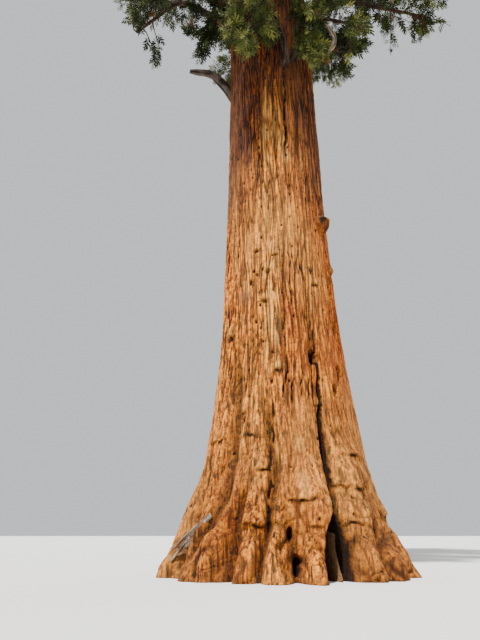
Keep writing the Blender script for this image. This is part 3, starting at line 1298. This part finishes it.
def find_plume(mass, plumes, root, along, opening, turn, wanted, growth):
    """The longest plume that finds room at a root, opened from `along` and turned about it."""
    for aside in TURN_TRIES:
        heading = opened(along, opening, turn + aside)
        room = way_to_edge(mass, root, heading)
        for share in SHORTER_TRIES:
            length = min(wanted * share, room)
            plume = Plume(root, heading, length, turn, PLUME_WIDTH * length)
            if (length > growth.shortest and fits(mass, plume_points(plume), growth.overreach)
                    and plumes_apart(plume, plumes, growth.spacing)):
                plumes.append(plume)
                return plume
    return None


def grow_twigs(mass, stem, random, growth, plumes, twigs):
    """Sets twigs round a stem, each with a plume at its tip and plumes at its sides."""
    first_turn = 360 * next(random)
    for i in range(growth.twigs):
        upward = i / (growth.twigs - 1)
        first = growth.first[1] if mass.tip else growth.first[0]
        share = first + (growth.last - first) * upward
        start = point_along(stem, share)
        opening = TWIG_OPENING - TWIG_CLOSING * upward
        opening += TWIG_OPENING_SCATTER * (next(random) - 0.5)
        turn = first_turn + GOLDEN_ANGLE * i + TWIG_TURN_SCATTER * (next(random) - 0.5)
        plume_turn = 360 * next(random)
        heading = opened(heading_along(stem, share), opening, turn)
        room = way_to_edge(mass, start, heading)
        length = max(room - TWIG_SHORT_OF_EDGE * growth.longest, TWIG_LEAST * room)
        end = start + length * heading
        middle = (1 - TWIG_MIDDLE) * start + TWIG_MIDDLE * end
        if not fits(mass, np.array([middle, end])):
            continue
        last = find_plume(mass, plumes, end, heading, TIP_PLUME_OPENING, plume_turn,
                          growth.longest, growth)
        if not last:
            continue
        twigs.append(Twig(share, start, end))
        for along, side_opening, side_turn in SIDE_PLUMES:
            root = start + along * (end - start)
            find_plume(mass, plumes, root, heading, side_opening, plume_turn + side_turn,
                       SIDE_PLUME_LENGTH * growth.longest, growth)


def grow_mass(mass):
    """The stem, twigs and plumes of a mass, by its solid's rule, and then the finer ones."""
    random = seeded_series(mass.seed)
    stem_end = mass.centre + STEM_TIP_SHARE * mass.long * mass.axis
    lead = mass.axis if mass.tip else outward(np.float64(mass.leave))
    span = np.linalg.norm(stem_end - mass.stem_start)
    stem = bent_curve(mass.stem_start, mass.stem_start + STEM_LEAD * span * lead,
                      stem_end - STEM_LEAD * span * mass.axis, stem_end)
    plumes, twigs = [], []
    find_plume(mass, plumes, stem_end, heading_along(stem, 1), 0, 360 * next(random),
               MAIN_GROWTH.longest, MAIN_GROWTH)
    grow_twigs(mass, stem, random, MAIN_GROWTH, plumes, twigs)
    grow_twigs(mass, stem, random, FINER_GROWTH, plumes, twigs)
    return stem, twigs, plumes


# Sprouts stand on the trunk under a front bough and hang over the right of its front. A spray is
# kept within the sprouts' reach of the trunk's axis, though it is outside its mass's space.
Sprout = namedtuple("Sprout", "bearing distance z heading tilt length")
SPROUTS_OF = "front_right"
SPROUTS_REACH = 2.35
SPROUTS_RISE = 0.15
SPROUTS = rows(
    Sprout,
    (-62, 1.62, 13.60, -60, -62, 1.05), (-56, 1.66, 13.95, -50, -70, 1.20),
    (-50, 1.62, 14.30, -46, -66, 1.15), (-58, 1.70, 14.60, -66, -72, 1.20),
    (-45, 1.66, 14.90, -40, -60, 1.10), (-66, 1.66, 14.95, -72, -58, 0.90),
    (-52, 1.72, 15.30, -52, -66, 1.20),
)

grown = [(mass, *grow_mass(mass)) for mass in MASSES]
twigs, plumes = next((t, p) for mass, _, t, p in grown if mass.name == SPROUTS_OF)
for order, sprout in enumerate(SPROUTS):
    tilt = math.radians(sprout.tilt)
    heading = math.cos(tilt) * outward(np.float64(sprout.heading)) + [0, 0, math.sin(tilt)]
    root = point_at(sprout.bearing, sprout.distance, sprout.z)
    twigs.append(Twig(0, root_in_trunk(sprout.bearing, sprout.z - SPROUTS_RISE), root))
    plumes.append(Plume(root, heading, sprout.length, GOLDEN_ANGLE * order,
                        PLUME_WIDTH * sprout.length))
foliage_nodes = [f"foliage_{mass.name}" for mass in MASSES]

# Foliage: wood.
# The stems, twigs and branchlets of the masses, thinner at every forking. A stem or twig is drawn
# as far as it carries plumes, with the limbs' bark. The young shoots are smooth and dark brown.
STEM_SIDES = 8
TWIG_SIDES = 5
SHOOT_SIDES = 3
STEM_POINTS = 17
STEM_ROOT_SWELL = 0.5
STEM_SWELL_LENGTH = 0.5
TWIG_POINTS = 6
TWIG_RADII = (0.038, 0.020)
TWIG_SWAY = 0.035
SAME_POINT = 0.001
PLUME_POINTS = 5
PLUME_RADII = (0.017, 0.007)

# Shoots: how many a plume of one metre has and the fewest, where the first stands and the length
# that they cover, how they open, and how their length follows the plume's outline.
SHOOTS_ON_PLUME = 10
SHOOTS_BY_LENGTH = 0.45
FEWEST_SHOOTS = 4
FIRST_SHOOT = 0.10
SHOOTS_SPAN = 0.86
SHOOT_OPENING = 70
SHOOT_CLOSING = 36
SHOOT_OPENING_SCATTER = 8
SHOOT_TURN_SCATTER = 15
SHOOT_LEAST_REACH = 0.2
SHOOT_OUTLINE_SKEW = 0.75
SHOOT_LENGTHS = (0.85, 1.1)
SHOOT_SHORT_BY = 0.55
SHOOT_LEAST_LENGTH = 0.35
SHOOT_ARCH = 0.05
SHOOT_DROOP = 1.6
SHOOT_RADII = (0.007, 0.004)
SHOOT_COLOUR = "#3a2816"
SHOOT_ROUGHNESS = 0.8

# Sprays of a shoot: how far along it, how far aside and where round it each points, and how their
# size and their glow, by which their colours are dealt out, grow towards the tips.
SHOOT_SPRAYS = ((0.30, 42, 0), (0.58, 38, 170), (0.80, 8, 80))
SPRAY_LENGTH = 0.34
SPRAY_SIZES = (0.75, 1.2)
SPRAY_SIZE_AT_ROOT = 0.75
SPRAY_SIZE_GAIN = 0.4
SPRAY_TURN_SCATTER = 30
SPRAY_DROOP = 1.5
SPRAY_OVERREACH = 1.0
SPRAY_TIP = 0.9
GLOW_ALONG = 0.5
GLOW_SCATTER = 0.6
GLOW_IN_MASS = 0.35
END_SPRAYS = ((22, 0), (22, 120), (22, 240))
END_SPRAY_SETBACK = 0.24

stem_lines, twig_lines, shoot_lines = [], [], []
Spray = namedtuple("Spray", "point aim size glow")
sprays = []


def above_sky(mass, point):
    """Whether a point is above the line under which its mass is open."""
    distance = np.linalg.norm((point - trunk_axis(point[2]))[:2])
    return point[2] > np.interp(distance, *mass.sky)


def leafy(mass, point):
    """Whether leaves may stand at a point: above the open sky, and outside every gap."""
    if not above_sky(mass, point):
        return False
    for gap in GAPS:
        way = np.subtract(gap.far, gap.near)
        share = np.clip((point - gap.near).dot(way) / way.dot(way), 0, 1)
        if np.linalg.norm(point - gap.near - share * way) < gap.radius:
            return False
    return True


def branchlet(mass, plume, share):
    """Points of a plume's branchlet, which droops like the rest of its mass."""
    share = np.asarray(share, float)
    points = plume.root + share[..., None] * plume.length * plume.heading
    points[..., 2] -= mass.droop * plume.length * share**2
    return points


def draw_twig(twig, plumes, random):
    """Draws a twig as far as its last plume, moves its plumes with its sway, and counts them."""
    way = twig.end - twig.start
    sway = random.normal(0, TWIG_SWAY * np.linalg.norm(way), 3)
    carried = []
    for k, plume in enumerate(plumes):
        share = (plume.root - twig.start).dot(way) / way.dot(way)
        if np.linalg.norm(twig.start + share * way - plume.root) < SAME_POINT:
            carried.append(share)
            plumes[k] = plume._replace(root=plume.root + math.sin(math.pi * share) * sway)
    if carried:
        shares = np.linspace(0, max(carried), TWIG_POINTS)
        line = twig.start + np.outer(shares, way) + np.outer(np.sin(np.pi * shares), sway)
        twig_lines.append((line, np.linspace(*TWIG_RADII, TWIG_POINTS)))
    return len(carried)


def shoot_of(mass, plume, share, turn, random):
    """A shoot's root on its plume's branchlet, its heading and its length."""
    opening = SHOOT_OPENING - SHOOT_CLOSING * share
    opening += random.uniform(-SHOOT_OPENING_SCATTER, SHOOT_OPENING_SCATTER)
    turn += random.uniform(-SHOOT_TURN_SCATTER, SHOOT_TURN_SCATTER)
    outline = SHOOT_LEAST_REACH + math.sin(math.pi * share**SHOOT_OUTLINE_SKEW)
    heading = opened(plume.heading, opening, turn) - [0, 0, SHOOT_DROOP * mass.droop]
    length = plume.width * outline / math.sin(math.radians(opening))
    length *= random.uniform(*SHOOT_LENGTHS)
    length = max(length - SHOOT_SHORT_BY * SPRAY_LENGTH, SHOOT_LEAST_LENGTH * length)
    return branchlet(mass, plume, share), unit(heading), length, turn


def dress_plume(mass, plume, random):
    """A plume's branchlet with its shoots, and the sprays on them."""
    axis = branchlet(mass, plume, np.linspace(0, 1, PLUME_POINTS))
    twig_lines.append((axis, np.linspace(*PLUME_RADII, PLUME_POINTS)))
    share = 1 - SHOOTS_BY_LENGTH + SHOOTS_BY_LENGTH * plume.length
    count = SHOOTS_ON_PLUME * share / mass.lace
    count = max(round(count), FEWEST_SHOOTS)
    for k in range(count):
        share = FIRST_SHOOT + SHOOTS_SPAN * (k + 0.5) / count
        root, heading, length, turn = shoot_of(mass, plume, share, plume.turn + GOLDEN_ANGLE * k,
                                               random)
        tip = root + length * heading
        if not leafy(mass, tip):
            continue
        middle = (root + tip) / 2 + [0, 0, SHOOT_ARCH * length]
        shoot_lines.append((np.array([root, middle, tip]), np.linspace(*SHOOT_RADII, 3)))
        for place, aside, around in SHOOT_SPRAYS:
            point = root + place * length * heading
            around += random.uniform(-SPRAY_TURN_SCATTER, SPRAY_TURN_SCATTER)
            aim = opened(heading, aside, turn + around)
            aim = unit(aim - [0, 0, SPRAY_DROOP * mass.droop])
            size = SPRAY_LENGTH * random.uniform(*SPRAY_SIZES)
            size *= SPRAY_SIZE_AT_ROOT + SPRAY_SIZE_GAIN * place
            glow = GLOW_ALONG * (place + share) + mass.shine
            glow += random.uniform(-GLOW_SCATTER, GLOW_SCATTER)
            glow += GLOW_IN_MASS * (point - mass.centre).dot(mass.axis) / mass.long
            sprays.append(Spray(point, aim, size, glow))
    end = unit(plume.heading - [0, 0, SPRAY_DROOP * mass.droop])
    for aside, around in END_SPRAYS:
        aim = opened(end, aside, plume.turn + around)
        point = axis[-1] - END_SPRAY_SETBACK * end
        sprays.append(Spray(point, aim, SPRAY_LENGTH, 1 + mass.shine))


def draw_stem(mass, stem, reach):
    """Draws a stem as far as it carries anything."""
    shares = np.linspace(0, reach, STEM_POINTS)
    root = mass.tip or STEM_ROOT_SHARE * mass.long
    radii = np.linspace(root, STEM_TIP_RADIUS, STEM_POINTS)
    if not mass.tip:
        swell = np.exp(-shares * stem.lengths[-1] / STEM_SWELL_LENGTH)
        radii *= 1 + STEM_ROOT_SWELL * swell
    stem_lines.append((np.array([point_along(stem, share) for share in shares]), radii))


random = np.random.default_rng(FOLIAGE_SEED)
for mass, stem, twigs, plumes in grown:
    plumes = [plume for plume in plumes if leafy(mass, branchlet(mass, plume, 1))]
    stem_tip = point_along(stem, 1)
    needed = [1 for plume in plumes if np.linalg.norm(plume.root - stem_tip) < SAME_POINT]
    needed += [twig.share for twig in twigs if draw_twig(twig, plumes, random)]
    draw_stem(mass, stem, max(needed))
    first = len(sprays)
    for plume in plumes:
        dress_plume(mass, plume, random)
    tips = [spray.point + SPRAY_TIP * spray.size * spray.aim for spray in sprays[first:]]
    tips = np.array(tips)
    within = space_shares(tips)[mass.seed - 1] < SPRAY_OVERREACH
    if mass.name == SPROUTS_OF:
        within = within | (np.hypot(tips[:, 0], tips[:, 1]) < SPROUTS_REACH)
    sprays[first:] = [spray for spray, kept in zip(sprays[first:], within) if kept]


def new_group(name, inputs):
    """An empty Geometry Nodes tree with a geometry input and output and further inputs."""
    group = bpy.data.node_groups.new(name, "GeometryNodeTree")
    group.interface.new_socket("Geometry", in_out="INPUT", socket_type="NodeSocketGeometry")
    for label, kind in inputs.items():
        group.interface.new_socket(label, in_out="INPUT", socket_type=kind)
    group.interface.new_socket("Geometry", in_out="OUTPUT", socket_type="NodeSocketGeometry")
    return group


def realized(name, mesh, group, values):
    """The plain mesh that a Geometry Nodes tree makes of a mesh with the inputs' values."""
    carrier = bpy.data.objects.new(name + "_carrier", mesh)
    bpy.context.scene.collection.objects.link(carrier)
    modifier = carrier.modifiers.new("nodes", "NODES")
    modifier.node_group = group
    for item in group.interface.items_tree:
        if item.in_out == "INPUT" and item.name in values:
            modifier[item.identifier] = values[item.name]
    graph = bpy.context.evaluated_depsgraph_get()
    plain = bpy.data.meshes.new_from_object(carrier.evaluated_get(graph), depsgraph=graph)
    plain.name = name
    carrier.modifiers.remove(modifier)
    bpy.data.objects.remove(carrier)
    return plain


def finish_group(group, given, geometry):
    """Gives a tree's geometry the material of its input, and sends it out."""
    dressed = add_node(group, "GeometryNodeSetMaterial", {
        "Geometry": geometry, "Material": given.outputs["Material"],
    })
    add_node(group, "NodeGroupOutput", {"Geometry": dressed.outputs[0]})


def named_attribute(group, name, kind="FLOAT"):
    node = add_node(group, "GeometryNodeInputNamedAttribute", data_type=kind)
    node.inputs["Name"].default_value = name
    return node.outputs["Attribute"]


def tube_group():
    """Geometry Nodes that make each line of a mesh a tube, as thick as its radius attribute."""
    group = new_group("tubes", {"Sides": "NodeSocketInt", "Material": "NodeSocketMaterial"})
    given = group.nodes.new("NodeGroupInput")
    profile = add_node(group, "GeometryNodeCurvePrimitiveCircle", {
        "Radius": 1.0, "Resolution": given.outputs["Sides"],
    })
    lines = add_node(group, "GeometryNodeMeshToCurve", {"Mesh": given.outputs["Geometry"]})
    tubes = add_node(group, "GeometryNodeCurveToMesh", {
        "Curve": lines.outputs[0], "Profile Curve": profile.outputs[0],
        "Scale": named_attribute(group, "radius"), "Fill Caps": True,
    })
    finish_group(group, given, tubes.outputs[0])
    return group


def line_mesh(name, lines):
    """A mesh of open lines whose points carry their radius."""
    mesh = bpy.data.meshes.new(name)
    points = np.concatenate([points for points, _ in lines])
    starts = np.cumsum([0] + [len(points) for points, _ in lines[:-1]])
    edges = [(start + i, start + i + 1)
             for start, (line, _) in zip(starts, lines) for i in range(len(line) - 1)]
    mesh.from_pydata(points.tolist(), [(int(a), int(b)) for a, b in edges], [])
    radius = mesh.attributes.new("radius", "FLOAT", "POINT")
    radius.data.foreach_set("value", np.concatenate([radii for _, radii in lines]))
    return mesh


shoot_bark = matt_material("young_shoot_bark", SHOOT_COLOUR, SHOOT_ROUGHNESS)[0]
tubes = tube_group()
half = len(shoot_lines) // 2
for name, lines, sides, bark in (
    ("foliage_stems", stem_lines, STEM_SIDES, limb_bark),
    ("foliage_twigs", twig_lines, TWIG_SIDES, limb_bark),
    ("foliage_shoots_low", shoot_lines[:half], SHOOT_SIDES, shoot_bark),
    ("foliage_shoots_high", shoot_lines[half:], SHOOT_SIDES, shoot_bark),
):
    mesh = realized(name, line_mesh(name + "_lines", lines), tubes,
                    {"Sides": sides, "Material": bark})
    mesh.shade_smooth()
    piece_of(mesh, bark, "bough_bark", *foliage_nodes)

# Foliage: sprays.
# Cords of scale leaves in small brushes, dark inside the crown and yellow-green at the lit tips,
# with a few that have died back brown. Each cord is drawn as a folded blade, larger than life.
CORDS_ON_SPRAY = 13
CORDS_SPAN = 0.62
CORD_OPENING = 58
CORD_CLOSING = 26
CORD_LENGTHS = (0.50, 0.34)
MIDDLE_CORD = 0.40
CORD_WIDEST = 0.45
CORD_WIDTH = 0.055
CORD_FOLD = 0.03
CORD_SEAM = (0.2, 0.3, 1.0)
LEAF_ROUGHNESS = 0.7
SPRAYS_IN_PIECE = 7400

# Name, colour and share of the sprays, from the darkest to the lightest.
SPRAY_KINDS = [
    ("deep", "#1e260a", 0.27),
    ("dark", "#343c10", 0.26),
    ("olive", "#414b1b", 0.23),
    ("fresh", "#545a27", 0.15),
    ("bright", "#6f7035", 0.09),
]
BROWN_SHARE = 0.02
BROWN_COLOUR = "#6a4420"


def spray_mesh():
    """One spray along the x axis, one metre long: cords at the golden angle round a middle one."""
    vertices, faces = [], []
    for k in range(CORDS_ON_SPRAY):
        share = k / (CORDS_ON_SPRAY - 1)
        root = np.array([CORDS_SPAN * share, 0, 0])
        opening = CORD_OPENING - CORD_CLOSING * share
        length = CORD_LENGTHS[0] + (CORD_LENGTHS[1] - CORD_LENGTHS[0]) * share
        if k == CORDS_ON_SPRAY - 1:
            opening, length = 0, MIDDLE_CORD
        along = opened(np.array([1.0, 0, 0]), opening, GOLDEN_ANGLE * k)
        flat = unit(np.cross(along, CORD_SEAM))
        middle = root + CORD_WIDEST * length * along + CORD_FOLD * np.cross(along, flat)
        first = len(vertices)
        vertices += [root, middle + CORD_WIDTH * flat, root + length * along,
                     middle - CORD_WIDTH * flat]
        faces += [(first, first + 1, first + 2), (first, first + 2, first + 3)]
    mesh = bpy.data.meshes.new("one_spray")
    mesh.from_pydata([tuple(v) for v in vertices], [], faces)
    return mesh


def spray_group(spray):
    """Geometry Nodes that set a spray on each point, turned and sized by its attributes."""
    group = new_group("sprays", {"Material": "NodeSocketMaterial"})
    given = group.nodes.new("NodeGroupInput")
    one = group.nodes.new("GeometryNodeObjectInfo")
    one.inputs["Object"].default_value = spray
    set_out = add_node(group, "GeometryNodeInstanceOnPoints", {
        "Points": given.outputs["Geometry"], "Instance": one.outputs["Geometry"],
        "Rotation": named_attribute(group, "turned", "FLOAT_VECTOR"),
        "Scale": named_attribute(group, "size"),
    })
    real = add_node(group, "GeometryNodeRealizeInstances", {"Geometry": set_out.outputs[0]})
    finish_group(group, given, real.outputs[0])
    return group


def spray_points(name, chosen, random):
    """A mesh of the points where sprays stand, with their turns and sizes."""
    mesh = bpy.data.meshes.new(name)
    mesh.from_pydata([tuple(spray.point) for spray in chosen], [], [])
    aims = np.array([spray.aim for spray in chosen])
    rolls = random.uniform(0, 2 * np.pi, len(chosen))
    angles = np.stack([rolls, -np.arcsin(np.clip(aims[:, 2], -1, 1)),
                       np.arctan2(aims[:, 1], aims[:, 0])], axis=1)
    turned = mesh.attributes.new("turned", "FLOAT_VECTOR", "POINT")
    turned.data.foreach_set("vector", angles.ravel())
    size = mesh.attributes.new("size", "FLOAT", "POINT")
    size.data.foreach_set("value", [spray.size for spray in chosen])
    return mesh


sprays.sort(key=lambda spray: spray.glow)
brown = set(random.choice(len(sprays), int(BROWN_SHARE * len(sprays)), replace=False).tolist())
one_spray = bpy.data.objects.new("one_spray", spray_mesh())
bpy.context.scene.collection.objects.link(one_spray)
setter = spray_group(one_spray)
kinds = [("brown", BROWN_COLOUR, [sprays[i] for i in sorted(brown)])]
shares = np.cumsum([0] + [share for _, _, share in SPRAY_KINDS])
for (kind, colour, _), low, high in zip(SPRAY_KINDS, shares, shares[1:]):
    span = range(round(low * len(sprays)), round(high * len(sprays)))
    kinds.append((kind, colour, [sprays[i] for i in span if i not in brown]))
for kind, colour, chosen in kinds:
    leaves = matt_material(f"sequoia_leaves_{kind}", colour, LEAF_ROUGHNESS, MATT_SPECULAR)[0]
    for part, first in enumerate(range(0, len(chosen), SPRAYS_IN_PIECE)):
        name = f"foliage_{kind}_{part + 1}"
        points = spray_points(name + "_points", chosen[first:first + SPRAYS_IN_PIECE], random)
        mesh = realized(name, points, setter, {"Material": leaves})
        piece_of(mesh, leaves, "foliage", *foliage_nodes)
bpy.data.objects.remove(one_spray)

# Floor and light.
# A plain pale studio floor and backdrop, a key like the sun from high on the left of the front,
# and a weak soft fill from behind on the right.
FLOOR_SIDE = 600.0
FLOOR_COLOUR = "#dedcd8"
KEY = {"energy": 8.2, "spread": 4, "bearing": -116, "height": 58}
FILL = {"energy": 0.7, "spread": 40, "bearing": 50, "height": 40}
SKY_COLOUR = "#e9ecef"
SKY_STRENGTH = 0.9

floor_mesh = bpy.data.meshes.new("floor")
half = FLOOR_SIDE / 2
floor_mesh.from_pydata([(-half, -half, 0), (half, -half, 0), (half, half, 0), (-half, half, 0)],
                       [], [(0, 1, 2, 3)])
floor = bpy.data.objects.new("floor", floor_mesh)
bpy.context.scene.collection.objects.link(floor)
floor_mesh.materials.append(matt_material("matt_floor", FLOOR_COLOUR, 1.0, 0.0)[0])

for name, light in (("key", KEY), ("fill", FILL)):
    lamp = bpy.data.lights.new(name, "SUN")
    lamp.energy = light["energy"]
    lamp.angle = math.radians(light["spread"])
    lamp_object = bpy.data.objects.new(name, lamp)
    lamp_object.rotation_euler = (0, math.radians(90 - light["height"]),
                                  math.radians(light["bearing"]))
    bpy.context.scene.collection.objects.link(lamp_object)

sky = bpy.data.worlds.new("studio")
sky.use_nodes = True
sky.node_tree.nodes["Background"].inputs["Color"].default_value = linear(SKY_COLOUR)
sky.node_tree.nodes["Background"].inputs["Strength"].default_value = SKY_STRENGTH
bpy.context.scene.world = sky
